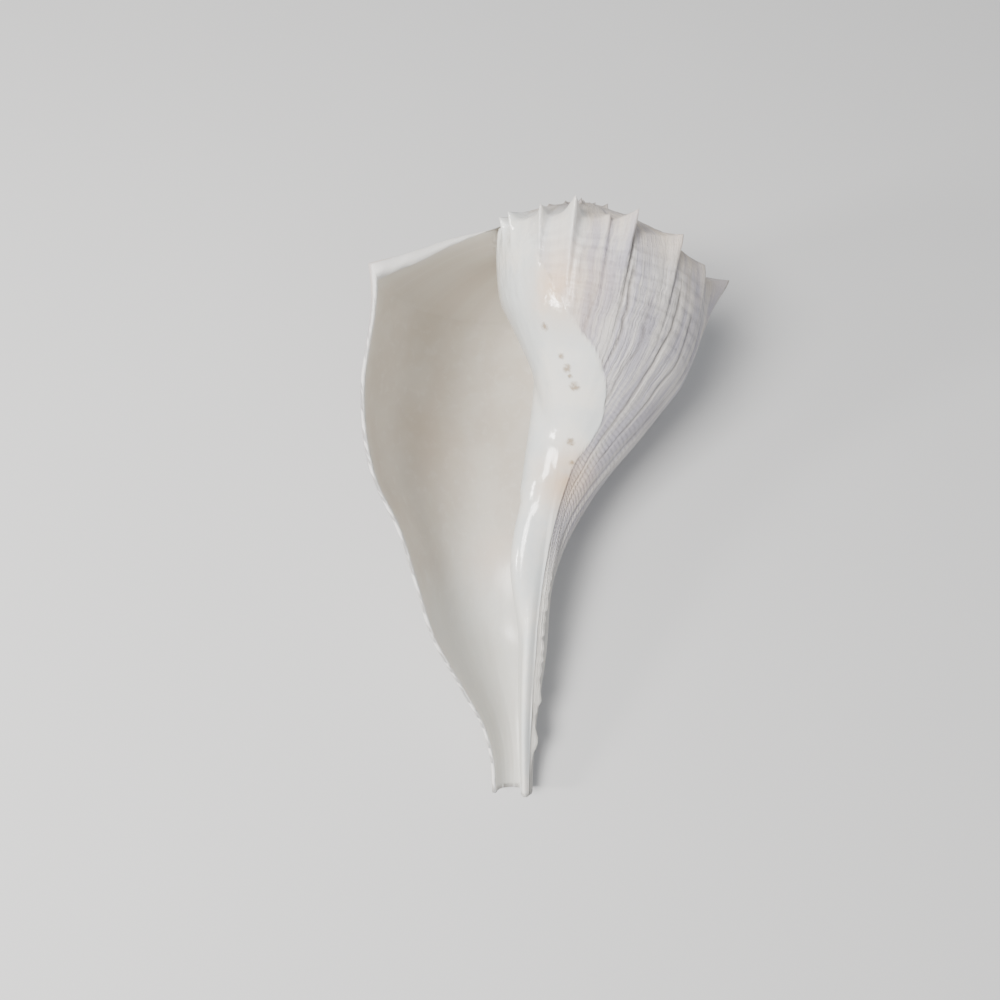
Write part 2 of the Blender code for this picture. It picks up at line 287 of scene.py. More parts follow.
# Stains, specks and smears: place and reach in metres, then strength and tint where they have them
STAINS = [((0.006, 0.046, 0.086), 0.020, 0.8), ((0.015, 0.003, 0.047), 0.016, 0.75)]
SPECKS = [((0.0018, 0.0400, 0.0753), 0.0017), ((0.0078, 0.0327, 0.0719), 0.0014),
          ((0.0100, 0.0300, 0.0700), 0.0018), ((0.0112, 0.0282, 0.0687), 0.0011),
          ((0.0129, 0.0259, 0.0669), 0.0021), ((0.0139, 0.0132, 0.0542), 0.0018),
          ((0.0150, 0.0080, 0.0500), 0.0012)]
SMEARS = [((-0.037, 0.023, 0.017), 0.024, 0.30, (0.62, 0.50, 0.38)),
          ((-0.003, -0.018, 0.014), 0.018, 0.45, (0.82, 0.62, 0.48))]

# Gloss and fine bump
GLAZE_ROUGHNESS = 0.20
COAT = 0.5
COAT_ROUGHNESS = 0.08
SUBSURFACE = 0.12
SUBSURFACE_RADIUS = (1.0, 0.85, 0.7)
SUBSURFACE_SCALE = 0.0015
BUMP_STRENGTH = 0.8
BUMP_DISTANCE = 0.0006
# Length in millimetres or degrees that counts as one in the noises along the coil
BAND_UNIT = 60.0

# Camera, lights and surroundings. A light is its name, place, size, power and colour.
SENSOR = 36.0
LENS = 27.036
CAMERA_AT = (0.01229, -0.08173, 0.27067)
CAMERA_TURN = (19.003, 1.626, 8.661)
LIGHTS = [("key", (-0.40, -0.34, 0.95), 0.42, 20.0, (1.0, 0.98, 0.95)),
          ("spark", (-0.66, -0.30, 0.37), 0.12, 3.2, (1.0, 0.98, 0.95)),
          ("fill", (0.55, -0.30, 1.0), 0.9, 2.0, (0.93, 0.96, 1.0))]
SKY = (0.84, 0.86, 0.90, 1)
SKY_STRENGTH = 0.44
FLOOR_HALF = 3.0
FLOOR_GREYS = ((0.60, 0.60, 0.60), (0.64, 0.64, 0.64))
FLOOR_ROUGHNESS = 0.8


def curve(points, x):
    """Smooth curve through a few points that never overshoots them."""
    xs, ys = (np.array(column, float) for column in zip(*points))
    run = np.diff(xs)
    slope = np.diff(ys) / run
    tangent = np.zeros(len(xs))
    tangent[0], tangent[-1] = slope[0], slope[-1]
    for i in range(1, len(xs) - 1):
        if slope[i - 1] * slope[i] > 0:
            before, after = 2 * run[i] + run[i - 1], run[i] + 2 * run[i - 1]
            tangent[i] = (before + after) / (before / slope[i - 1] + after / slope[i])
    x = np.clip(np.asarray(x, float), xs[0], xs[-1])
    i = np.clip(np.searchsorted(xs, x) - 1, 0, len(run) - 1)
    t = (x - xs[i]) / run[i]
    start = ys[i] * (1 + 2 * t) * (1 - t) ** 2 + tangent[i] * run[i] * t * (1 - t) ** 2
    end = ys[i + 1] * t * t * (3 - 2 * t) + tangent[i + 1] * run[i] * t * t * (t - 1)
    return start + end


def ease(x):
    """Smooth step from 0 to 1."""
    x = np.clip(x, 0, 1)
    return x * x * (3 - 2 * x)


def hump(x, middle, width):
    """1 at the middle, fading smoothly to 0 on both sides."""
    return np.exp(-((x - middle) / width) ** 2)


def growth(back):
    """Size of the coil as a share of its size at the lip."""
    return WHORL_GROWTH ** (-back / TURN)


def keel_height(back):
    """Height of the keel, which carries the spines."""
    return APEX_HEIGHT - (APEX_HEIGHT - KEEL_AT_LIP) * KEEL_GROWTH ** (-back / TURN)


def columella_radius(back, height):
    """Radius of the pillar in the middle, with its fold beside the canal."""
    fold = curve(FOLD, height) * hump(back, FOLD_BACK, FOLD_WIDTH)
    return np.minimum(curve(COLUMELLA, height), COLUMELLA_LIMIT * growth(back)) + fold


def outer_radius(back, height):
    """Radius of the shell's outside below the keel, without its spines."""
    size = growth(back)
    flare = hump(back, 0, LIP_FLARE)
    columella = columella_radius(back, height)
    body = size * curve(BODY, (keel_height(back) - height) / size)
    body = body * (1 - flare) + curve(LIP, height) * flare
    body = body + curve(WALL, height) * hump(back, WALL_BACK, WALL_WIDTH)
    blend = BLEND * size
    body = (body + columella + np.sqrt((body - columella) ** 2 + blend ** 2)) / 2
    opening = (1 + np.cos(np.pi * np.clip(back / CANAL_TURN, 0, 1))) / 2
    canal = columella + (curve(LIP, height) - columella) * opening
    share = ease((CANAL_TOP - height) / (CANAL_TOP - CANAL_BASE))
    return body * (1 - share) + canal * share


def inner_radius(back, height):
    """Radius of the aperture's outer wall, one wall thickness inside the outside."""
    thickness = curve(WALL_THICKNESS, back)
    slope = (outer_radius(back, height + 1) - outer_radius(back, height - 1)) / 2
    return outer_radius(back, height) - thickness * np.minimum(np.sqrt(1 + slope ** 2), WALL_SLANT_LIMIT)


def spine_height(back, narrow=1.0):
    """How far the spines stand off the keel, steep on the side towards the lip."""
    height = np.zeros_like(back)
    for turn in range(SPIRE_TURNS + 1):
        share = (SPIRE_SPINES if turn else 1) * growth(turn * TURN)
        for spot, tall, wide in SPINES:
            x = (back - spot - turn * TURN) / wide
            old = np.exp(-np.abs(x / SPINE_OLD_SIDE / narrow) ** SPINE_OLD_POWER)
            young = np.exp(-np.abs(x / SPINE_YOUNG_SIDE) ** SPINE_YOUNG_POWER)
            height = np.maximum(height, share * tall * np.where(x > 0, old, young))
    return height


def place(back, radius, height, relief):
    """Point of the shell from its place on the coil, pushed out by the relief."""
    radius, height = radius + SPINE_OUT * relief, height + SPINE_UP * relief
    azimuth = np.radians(LIP_AZIMUTH - back)
    bend = CANAL_BEND * np.clip((BEND_TOP - height) / BEND_TOP, 0, 1) ** 2
    return np.stack([radius * np.cos(azimuth) + bend, radius * np.sin(azimuth), height + 0 * azimuth], -1)


def fade(distance, reach):
    """1 on the keel, fading away from it."""
    return np.exp(-(np.clip(distance, 0, None) / reach) ** SPINE_FADE_POWER)


def spine_reach(back):
    """How far the spines run down as ribs, least at the lip."""
    callus = CALLUS_SMOOTH * hump(back, CALLUS_SMOOTH_BACK, CALLUS_SMOOTH_WIDTH)
    return SPINE_BELOW * (1 - LIP_SPINE_CUT * hump(back, 0, LIP_SPINE_WIDTH)) * (1 - callus)


def spine_relief(back, drop, rib_reach, tip_reach):
    """The spines at some way off the keel: a rib with a pointed tip on it."""
    tip = SPINE_TIP * ease((back - TIP_FROM) / TIP_RUN)
    rib = (1 - tip) * spine_height(back) * fade(drop, rib_reach)
    return rib + tip * spine_height(back, TIP_NARROW) * fade(drop, tip_reach)


def below_keel(back, height):
    """How far a height lies below the keel, at the size that the shell has at the lip."""
    return (keel_height(back) - height) / growth(back)


def corner_drop(back):
    """How far the lumen's upper corner lies below the suture, from nothing at the lip."""
    inside = back - TURN
    return CORNER_DROP * growth(np.maximum(inside, 0)) * ease(inside / CORNER_RUN)


def outer_point(back, q):
    """Outside below the keel. q runs from the keel, 0, to the canal tip, 1."""
    top = keel_height(back) - corner_drop(back)
    height = top * (1 - q)
    covered = hump(np.clip(back - TURN, 0, None), 0, COVER_RUN)
    relief = spine_relief(back, below_keel(back, height), spine_reach(back), TIP_BELOW) * covered
    return place(back, outer_radius(back, height), height, relief)


def ramp_profile(back, t):
    """Shoulder from the suture, t = 0, to the keel, t = 1."""
    outer_height, suture_height = keel_height(back), keel_height(back + TURN)
    outer, suture = outer_radius(back, outer_height), outer_radius(back + TURN, suture_height)
    radius = suture + (outer - suture) * t
    return radius, suture_height + (outer_height - suture_height) * curve(RAMP, t)


def ramp_point(back, t):
    """Shoulder with its own spines and those of the turn above, t as for its profile."""
    radius, height = ramp_profile(back, t)
    outer, _ = ramp_profile(back, np.ones_like(t))
    suture, _ = ramp_profile(back, np.zeros_like(t))
    size = growth(back)
    own = spine_relief(back, (outer - radius) / size, SPINE_ABOVE, TIP_ABOVE) * ease(t / OWN_FADE)
    previous = spine_relief(back + TURN, (radius - suture) / size, SPINE_ABOVE / 2, TIP_ABOVE / 2)
    previous = previous * ease((1 - t) / PREVIOUS_FADE)
    return place(back, radius, height, own + previous)


def inner_top(back):
    """Height of the top of the aperture's outer wall."""
    return keel_height(back) - INNER_DROP * growth(back)


def inner_point(back, q):
    """Aperture's outer wall, q as for the outside."""
    height = inner_top(back) * (1 - q)
    spout = spine_height(back) * fade(below_keel(back, height), spine_reach(back))
    spout = spout * hump(back, 0, LIP_SPINE_WIDTH)
    return place(back, inner_radius(back, height), height, spout)


def ceiling_point(back, f):
    """Inside of the shoulder, from the inner wall's top, f = 0, to the suture corner, f = 1."""
    top, corner = inner_top(back), keel_height(back + TURN) - corner_drop(back + TURN)
    start, end = inner_radius(back, top), outer_radius(back + TURN, corner)
    radius = start + (end - start) * f
    outer, outer_height = ramp_profile(back, np.ones_like(f))
    suture, suture_height = ramp_profile(back, np.zeros_like(f))

    def under_ramp(r):
        t = np.clip((r - suture) / (outer - suture), 0, 1)
        return suture_height + (outer_height - suture_height) * curve(RAMP, t)

    height = under_ramp(radius) + (1 - f) * (top - under_ramp(start)) + f * (corner - under_ramp(end))
    spout = spine_height(back) * hump(back, 0, LIP_SPINE_WIDTH) * (1 - ease(f / CEILING_FADE))
    spout = spout * fade(below_keel(back, top), spine_reach(back))
    beyond = back + TURN
    corner_relief = spine_relief(beyond, corner_drop(beyond) / growth(beyond), spine_reach(beyond), TIP_BELOW)
    corner_relief = corner_relief * hump(back, 0, COVER_RUN) * ease((f - 1 + CEILING_FADE) / CEILING_FADE)
    return place(back, radius, height, spout + corner_relief)


def columns():
    """Angles of the mesh columns over one turn, with a column on each spine and beside it."""
    stops = {0.0, TURN}
    for spot, _, wide in SPINES:
        for side in SPINE_STOPS:
            stops.add(spot + side * wide)
    stops = sorted(s for s in stops if 0 <= s <= TURN)
    kept = [stops[0]]
    peaks = {spot for spot, _, _ in SPINES} | {TURN}
    for stop in stops[1:]:
        if stop - kept[-1] < STOP_SPACING:
            if stop not in peaks:
                continue
            if kept[-1] not in peaks and len(kept) > 1:
                kept.pop()
        parts = math.ceil((stop - kept[-1]) / COLUMN_STEP)
        kept += list(np.linspace(kept[-1], stop, parts + 1)[1:])
    while (len(kept) - 1) % HALVINGS:
        widest = int(np.argmax(np.diff(kept)))
        kept.insert(widest + 1, (kept[widest] + kept[widest + 1]) / 2)
    return np.array(kept)


def lumen_ends(rows):
    """Angle at which the lumen closes, row by row, where its two walls come together."""
    back = np.arange(LUMEN_START, LUMEN_DEPTH + 1, LUMEN_STEP)
    ends = np.full(len(rows), LUMEN_DEPTH)
    for i, q in enumerate(rows):
        height = inner_top(back) * (1 - q)
        narrow = inner_radius(back, height) - outer_radius(back + TURN, height) < LUMEN_GAP
        if narrow.any():
            ends[i] = back[narrow.argmax()]
    for _ in range(LUMEN_SMOOTHINGS):
        middle = (ends[:-2] + 2 * ends[1:-1] + ends[2:]) / 4
        ends[1:-1] = np.minimum(middle, ends[1:-1])
    return ends


def scatter(cell, seed):
    """A number between -1 and 1 that looks random but is always the same for a cell and seed."""
    value = np.sin(cell * 12.9898 + seed * 78.233) * 43758.5453
    return 2 * (value - np.floor(value)) - 1


def ripple(x, seed):
    """Smooth noise along a line, between -1 and 1."""
    cell = np.floor(x)
    t = ease(x - cell)
    return scatter(cell, seed) * (1 - t) + scatter(cell + 1, seed) * t


def ripple_2d(x, y, seed):
    """Smooth noise over a plane, between -1 and 1."""
    row = np.floor(y)
    t = ease(y - row)
    return ripple(x + ROW_SHIFT * row, seed) * (1 - t) + ripple(x + ROW_SHIFT * (row + 1), seed) * t


def ripples(x, waves):
    """Several waves of smooth noise along a line, added up."""
    return sum(size * ripple(x / length, seed) for length, size, seed in waves)


def lip_fade(back):
    """1 on the lip's edge, fading behind it."""
    return np.exp(-np.clip(back, 0, None) / LIP_REACH)


def lip_shift(back, along, edge):
    """How far the lip's edge runs ahead or back, in degrees, fading at its ends and away from the lip."""
    return ripples(along, LIP_WAVES) * edge * lip_fade(back)


def callus_share(back, height):
    """1 on the glossy callus beside the aperture, 0 on the chalky outside."""
    edge = curve(CALLUS, height) + ripples(height, CALLUS_WAVER)
    return ease((back - edge) / CALLUS_EDGE + 0.5)


def thin_glaze(back, height):
    """Smoother, glossier skin between the callus and the crevice beside it, from 0 to its strength."""
    start, low, strength = THIN_GLAZE
    side, bottom = THIN_GLAZE_EDGES
    return strength * ease((back - start) / side) * ease((height - low) / bottom) * (back < TURN)


def gloss(back, height):
    """Gloss of the outside, full on the callus and weaker on the thin glaze."""
    return np.maximum(callus_share(back, height), thin_glaze(back, height))


def flutes(back):
    """Grooves on the young side of the spines, from 0 to 1."""
    depth = np.zeros_like(back)
    for turn in range(SPIRE_TURNS + 1):
        for spot, tall, wide in SPINES:
            middle = spot + turn * TURN - FLUTE_AHEAD * wide
            depth = np.maximum(depth, min(tall / FLUTED_SPINE, 1.0) * hump(back, middle, FLUTE_WIDTH * wide))
    return depth


def growth_ridges(back, height):
    """Ridges along the growth lines, which lean and waver a little."""
    return ripples(back + ripples(height, GROWTH_WAVER), GROWTH_RIDGES)


def creases(back, height):
    """Thin crevices where growth stopped for a while, from 0 to 1. They waver and break off."""
    depth = np.zeros_like(back)
    for stop, top, length, strength in CREASES:
        waver = [(wave, size, stop + order) for order, (wave, size) in enumerate(CREASE_WAVER)]
        run = ease((top - height) / CREASE_TOP_FADE) * ease((height - top + length) / CREASE_END_FADE)
        line = strength * run * hump(back + ripples(height, waver), stop, CREASE_WIDTH)
        depth = np.maximum(depth, line)
    return depth


def twisted_ridge(back, height):
    """Swell, wrinkles and knobs of the ridge below the callus."""
    band = curve(WRINKLE_BAND, height) * hump(back, RIDGE_BACK, WRINKLE_WIDTH)
    relief = band * np.sin(height / WRINKLE_LENGTH * 2 * np.pi + ripples(height, [WRINKLE_WAVER]))
    relief = relief + curve(RIDGE_SWELL, height) * hump(back, RIDGE_BACK, RIDGE_SWELL_WIDTH)
    for spot, level, size in KNOBS:
        relief = relief + size * hump(back, spot, KNOB_ALONG) * hump(height, level, KNOB_DOWN)
    return relief


def callus_lumps(back, height):
    """Small lumps of the callus, flatter on its lower part."""
    along, down = LUMP_LENGTHS
    share = LUMPS_LOW + (1 - LUMPS_LOW) * ease((height - LUMPS_FROM) / LUMPS_RUN)
    return LUMPS * share * ripple_2d(back / along, height / down, seed=61)


def outside_relief(back, height):
    """Fine relief of the outside, and the depth of its grooves, which also sets the painted shade in them."""
    drop = np.clip(below_keel(back, height), 0, None)
    callus = callus_share(back, height)
    rough = (1 - callus) * (1 - thin_glaze(back, height))
    groove = flutes(back) * np.exp(-(drop / FLUTE_REACH) ** FLUTE_FADE_POWER)
    groove = np.maximum(groove, creases(back, height))
    deepest, width, end = CALLUS_LINE_SHARES
    groove = np.maximum(groove, CALLUS_LINE * hump(callus, deepest, width) * (callus < end))
    low = ease(height / BASE_CALM)
    ridges = growth_ridges(back, height) * (BASE_RIDGES + (1 - BASE_RIDGES) * low)
    relief = (ridges - FLUTE_DEPTH * groove) * rough
    along, down = UNEVEN_LENGTHS
    relief = relief + UNEVEN * ripple_2d(back / along, height / down, seed=31) * low
    relief = relief + (CALLUS_STEP + callus_lumps(back, height)) * callus + twisted_ridge(back, height)
    return relief * growth(back) ** 0.5, groove * rough


def outward(back):
    """Direction straight out from the coil axis."""
    azimuth = np.radians(LIP_AZIMUTH - back)
    return np.stack([np.cos(azimuth), np.sin(azimuth), 0 * azimuth], -1)


class Surface:
    """Points with their facts, and the faces between them, gathered patch by patch."""

    FACTS = ("coil", "drop", "glaze", "inside", "groove", "rim", "low")

    def __init__(self):
        self.points = []
        self.facts = {name: [] for name in self.FACTS}
        self.faces = []
        self.count = 0

    def add_points(self, points, facts):
        """Keep points with their facts, and return the number of the first."""
        shape = points.shape[:-1]
        for name in self.FACTS:
            self.facts[name].append(np.broadcast_to(facts.get(name, 0.0), shape).ravel())
        self.points.append(points.reshape(-1, 3))
        first = self.count
        self.count += int(np.prod(shape))
        return first

    def add_grid(self, points, **facts):
        """Quads between rows of points."""
        first = self.add_points(points, facts)
        rows, across = points.shape[:2]
        corner = first + np.arange(rows - 1)[:, None] * across + np.arange(across - 1)
        quads = np.stack([corner, corner + 1, corner + across + 1, corner + across], -1)
        self.faces += quads.reshape(-1, 4).tolist()

    def add_face(self, points, **facts):
        first = self.add_points(np.asarray(points), facts)
        self.faces.append(list(range(first, first + len(points))))

    def add_strip(self, fine, coarse, **facts):
        """Faces between a row of points and one with half as many segments."""
        if len(fine) == len(coarse):
            facts = {name: value.reshape(2, -1) for name, value in facts.items()}
            self.add_grid(np.stack([fine, coarse]), **facts)
            return
        first = self.add_points(np.concatenate([fine, coarse]), facts)
        second = first + len(fine)
        for i in range(len(coarse) - 1):
            a, b, c = first + 2 * i, first + 2 * i + 1, first + 2 * i + 2
            self.faces += [[a, b, second + i], [second + i, b, second + i + 1], [b, c, second + i + 1]]

    def build(self, name):
        """One welded, closed mesh that carries the facts as attributes."""
        data = bpy.data.meshes.new(name)
        data.from_pydata((np.concatenate(self.points) * MM).tolist(), [], self.faces)
        for fact, values in self.facts.items():
            layer = data.attributes.new(fact, "FLOAT", "POINT")
            layer.data.foreach_set("value", np.concatenate(values).astype(np.float32))
        mesh = bmesh.new()
        mesh.from_mesh(data)
        bmesh.ops.remove_doubles(mesh, verts=mesh.verts, dist=WELD)
        bmesh.ops.dissolve_degenerate(mesh, edges=mesh.edges, dist=WELD)
        bmesh.ops.triangulate(mesh, faces=[face for face in mesh.faces if len(face.verts) > 4])
        bmesh.ops.recalc_face_normals(mesh, faces=mesh.faces)
        for face in mesh.faces:
            face.smooth = True
        mesh.to_mesh(data)
        mesh.free()
        return data


def fine_columns():
    """Angles of the fine mesh's columns, several to each column of the solid."""
    coarse = columns()
    steps = np.arange((len(coarse) - 1) * FINENESS + 1) / FINENESS
    return np.interp(steps, np.arange(len(coarse)), coarse)


def edge_share(q):
    """Crinkle of the lip below the shoulder, none at its two ends."""
    return ease(q / LIP_END_FADE) * ease((1 - q) / LIP_END_FADE)


def ramp_edge_share(t):
    """Crinkle of the lip along the shoulder, none at its two ends."""
    return ease(t / RAMP_END_FADE) * ease((1 - t) / RAMP_END_FADE)


def keel_calm(q):
    """0 on the keel, where the outside meets the shoulder, and 1 a little below it."""
    return ease(q / KEEL_SMOOTH)


def rim_share(back):
    """1 on the lip's edge, 0 a few degrees behind it."""
    return np.exp(-back / RIM_REACH)


def add_body(surface, rows, seam, across):
    """Outside below the keel, from the lip to the seam."""
    squeezed = SEAM_START + (across - SEAM_START) * (seam[:, None] - SEAM_START) / (TURN - SEAM_START)
    back = np.where(across < SEAM_START, across + 0 * squeezed, squeezed)
    q = rows[:, None] + 0 * back
    height = keel_height(back) * (1 - q)
    moved = back + lip_shift(back, height, edge_share(q))
    relief, groove = outside_relief(back, height)
    calm = keel_calm(q) * (1 - lip_fade(back))
    points = outer_point(moved, q) + outward(moved) * (relief * calm)[..., None]
    surface.add_grid(points, coil=back, drop=below_keel(back, height), glaze=gloss(back, height),
                     groove=groove, rim=rim_share(back), low=ease((BASE_PALE - height) / BASE_PALE_RUN))
    return points


def spire_points(back, t):
    """Shoulder with its relief, from the suture, t = 0, to the keel, t = 1."""
    moved = back + lip_shift(back, RAMP_LIP * t, ramp_edge_share(t))
    at_suture, at_keel = SPIRE_ENDS
    flat = ease(t / at_suture) * ease((1 - t) / at_keel) * (1 - lip_fade(back))
    ridges = growth_ridges(back, SPIRE_RIDGE_HEIGHT * t)
    threads = SPIRE_THREAD * np.sin(t * SPIRE_THREADS)
    lift = (ridges - SPIRE_FLUTE_DEPTH * flutes(back) * t ** 2 + threads) * flat * growth(back)
    out, up = SPIRE_LEAN
    return ramp_point(moved, t) + lift[..., None] * (out * outward(back) + np.array([0, 0, up]))


def add_spire(surface, first_columns):
    """Shoulders of the turns, with half the columns after each turn while there are enough, and the apex."""
    t = np.linspace(1, 0, FINE_RAMP_ROWS)[:, None]
    across = first_columns
    for turn in range(SPIRE_TURNS + 1):
        back = across + turn * TURN + 0 * t
        points = spire_points(back, t + 0 * back)
        # Painted shade in the flutes and the sutures
        groove = np.maximum(flutes(back) * t ** 2, SUTURE_SHADE * np.exp(-(t / SUTURE_WIDTH) ** 2))
        # Painted shade on the shoulder comes from this drop, darker towards the suture
        drop = SPIRE_DROP * (1 - t) + 0 * back
        coil = back.copy()
        glaze = gloss(across, CALLUS_TOP + 0 * across) * (turn == 0)
        glaze = glaze * ease((t - SPIRE_GLAZE_FROM) / (1 - SPIRE_GLAZE_FROM))
        if turn:
            groove[0], drop[0], coil[0] = SUTURE_SHADE, SPIRE_DROP, back[0] - TURN
        surface.add_grid(points[:-1], coil=coil[:-1], drop=drop[:-1], groove=groove[:-1],
                         glaze=glaze[:-1], rim=rim_share(back[:-1]))
        fewer = across[::2] if len(across) > FEWEST_SPIRE_COLUMNS else across
        suture = ramp_point(fewer + turn * TURN, 0 * fewer)
        bottom = np.ones(len(fewer))
        surface.add_strip(points[-2], suture, coil=np.concatenate([back[-2], fewer + turn * TURN]),
                          drop=np.concatenate([drop[-2], SPIRE_DROP * bottom]),
                          groove=np.concatenate([groove[-2], SUTURE_SHADE * bottom]))
        across = fewer
    apex = np.array([0, 0, keel_height(across[-1] + (SPIRE_TURNS + 1) * TURN)])
    last_turn = np.concatenate([suture, points[-2::-1, -1]])
    for a, b in zip(last_turn, last_turn[1:]):
        surface.add_face((a, b, apex), coil=SPIRE_TURNS * TURN, drop=SPIRE_DROP)


def add_outer_wall(surface, rows, ends, share):
    """Aperture's outer wall, from the lip to where the lumen closes."""
    q = rows[:, None] + 0 * share
    back = ends[:, None] * share
    height = inner_top(back) * (1 - q)
    moved = back + lip_shift(back, keel_height(back) * (1 - q), edge_share(q))
    at_lip, at_end = SOFT_FADES
    calm = ease(back / at_lip) * ease((ends[:, None] - back) / at_end) * edge_share(q)
    soft = ripples(back, [SOFT_WAVE]) * calm
    points = inner_point(moved, q) - outward(moved) * soft[..., None]
    surface.add_grid(points, coil=back, drop=below_keel(back, height), inside=1.0, rim=rim_share(back))
    return points


def add_inner_wall(surface, rows, seam, ends, share):
    """Aperture's inner wall, from the seam on: the callus, the columella and the turn below."""
    q = rows[:, None] + 0 * share
    back = seam[:, None] + (ends + TURN - seam)[:, None] * share
    height = (keel_height(back) - corner_drop(back)) * (1 - q)
    callus = callus_share(back, height)
    relief, _ = outside_relief(back, height)
    near = hump(back, seam[:, None], SEAM_NEAR)
    wall_step = CALLUS_STEP * callus * growth(back) ** 0.5 * keel_calm(q)
    calm = keel_calm(q) * ease((ends[:, None] + TURN - back) / LUMEN_END_FADE)
    lift = (relief * near + wall_step * (1 - near)) * calm
    points = outer_point(back, q) + outward(back) * lift[..., None]
    surface.add_grid(points, coil=back, drop=below_keel(back, height), glaze=callus,
                     inside=ease((back - curve(DEEP, height)) / DEEP_EDGE))
    return points


def add_ceiling(surface, share):
    """Inside of the shoulder."""
    f = np.linspace(0, 1, CEILING_ROWS)[:, None] + 0 * share
    back = LUMEN_DEPTH * share + 0 * f
    moved = back + lip_shift(back, RAMP_LIP * (1 - f), ramp_edge_share(f))
    points = ceiling_point(moved, f)
    surface.add_grid(points, coil=back, drop=0.0, inside=1.0, rim=rim_share(back))
    return points


def add_rim(surface, outer_edge, inner_edge):
    """Rounded rim of the lip between its outer and inner edge."""
    lip = math.radians(LIP_AZIMUTH)
    ahead = np.array([-math.sin(lip), math.cos(lip), 0])
    thick = np.linalg.norm(outer_edge - inner_edge, axis=1)[:, None]
    thick[0] = thick[-1] = 0
    middle = (outer_edge + inner_edge) / 2 + ahead * np.minimum(thick, RIM_THICKEST) * RIM_ROUND
    surface.add_grid(np.stack([outer_edge, middle, inner_edge]), rim=1.0, inside=0.5)
    return middle


def shell_surface():
    """The whole skin: outside, spire, lumen, rim and the closed ends."""
    surface = Surface()
    rows = np.linspace(0, 1, FINE_ROWS) ** ROW_CROWDING
    seam, ends = curve(SEAM, rows), lumen_ends(rows)
    across = fine_columns()
    share = np.linspace(0, 1, FINE_LUMEN_COLUMNS) ** COLUMN_CROWDING
    body = add_body(surface, rows, seam, across)
    add_spire(surface, across)
    outer_wall = add_outer_wall(surface, rows, ends, share)
    inner_wall = add_inner_wall(surface, rows, seam, ends, share)
    ceiling = add_ceiling(surface, share)

    t = np.linspace(1, 0, FINE_RAMP_ROWS)
    outer_edge = np.concatenate([spire_points(0 * t, t)[:0:-1], body[:, 0]])
    inner_edge = np.concatenate([ceiling[:0:-1, 0], outer_wall[:, 0]])
    middle = add_rim(surface, outer_edge, inner_edge)
    surface.add_grid(np.stack([outer_wall[:, -1], inner_wall[:, -1]]), inside=1.0, coil=LUMEN_DEPTH)
    surface.add_face(ceiling[:, -1], inside=1.0, coil=LUMEN_DEPTH)
    tip = np.concatenate([body[-1], inner_wall[-1, 1:], outer_wall[-1, ::-1], middle[-1:]])
    surface.add_face(tip, rim=1.0)
    return surface


class Graph:
    """Short calls for the nodes of one material. Most return a node's output."""

    def __init__(self, name):
        self.material = bpy.data.materials.new(name)
        self.material.use_nodes = True
        self.nodes = self.material.node_tree.nodes
        self.links = self.material.node_tree.links
        self.shader = self.nodes["Principled BSDF"]

    def put(self, value, socket):
        """Link a node's output to a socket, or set the socket's own value."""
        if isinstance(value, bpy.types.NodeSocket):
            self.links.new(value, socket)
        elif socket.type == "RGBA" and len(value) == 3:
            socket.default_value = (*value, 1)
        else:
            socket.default_value = value

    def fact(self, name):
        node = self.nodes.new("ShaderNodeAttribute")
        node.attribute_name = name
        return node.outputs["Fac"]

    def math(self, operation, *values):
        node = self.nodes.new("ShaderNodeMath")
        node.operation = operation
        for value, socket in zip(values, node.inputs):
            self.put(value, socket)
        return node.outputs[0]

    def range(self, value, low, high, new_low=0.0, new_high=1.0):
        node = self.nodes.new("ShaderNodeMapRange")
        node.interpolation_type = "SMOOTHSTEP"
        for item, socket in zip((value, low, high, new_low, new_high), node.inputs):
            self.put(item, socket)
        return node.outputs[0]

    def mix(self, share, first, second):
        node = self.nodes.new("ShaderNodeMix")
        node.data_type = "RGBA"
        for value, index in ((share, 0), (first, 6), (second, 7)):
            self.put(value, node.inputs[index])
        return node.outputs[2]

    def place(self):
        return self.nodes.new("ShaderNodeTexCoord").outputs["Object"]

    def join(self, x, y, z=0.0):
        """One vector from three numbers. z only picks another stretch of a noise."""
        node = self.nodes.new("ShaderNodeCombineXYZ")
        for value, socket in zip((x, y, z), node.inputs):
            self.put(value, socket)
        return node.outputs[0]

    def noise(self, vector, scale, detail=3.0, roughness=0.55):
        node = self.nodes.new("ShaderNodeTexNoise")
        self.put(vector, node.inputs["Vector"])
        node.inputs["Scale"].default_value = scale
        node.inputs["Detail"].default_value = detail
        node.inputs["Roughness"].default_value = roughness
        return node.outputs["Fac"]

    def spot(self, centre, reach):
        """1 at a place on the shell, fading to 0 at its reach."""
        node = self.nodes.new("ShaderNodeVectorMath")
        node.operation = "DISTANCE"
        self.put(self.place(), node.inputs[0])
        node.inputs[1].default_value = centre
        return self.range(node.outputs["Value"], 0.0, reach, 1.0, 0.0)


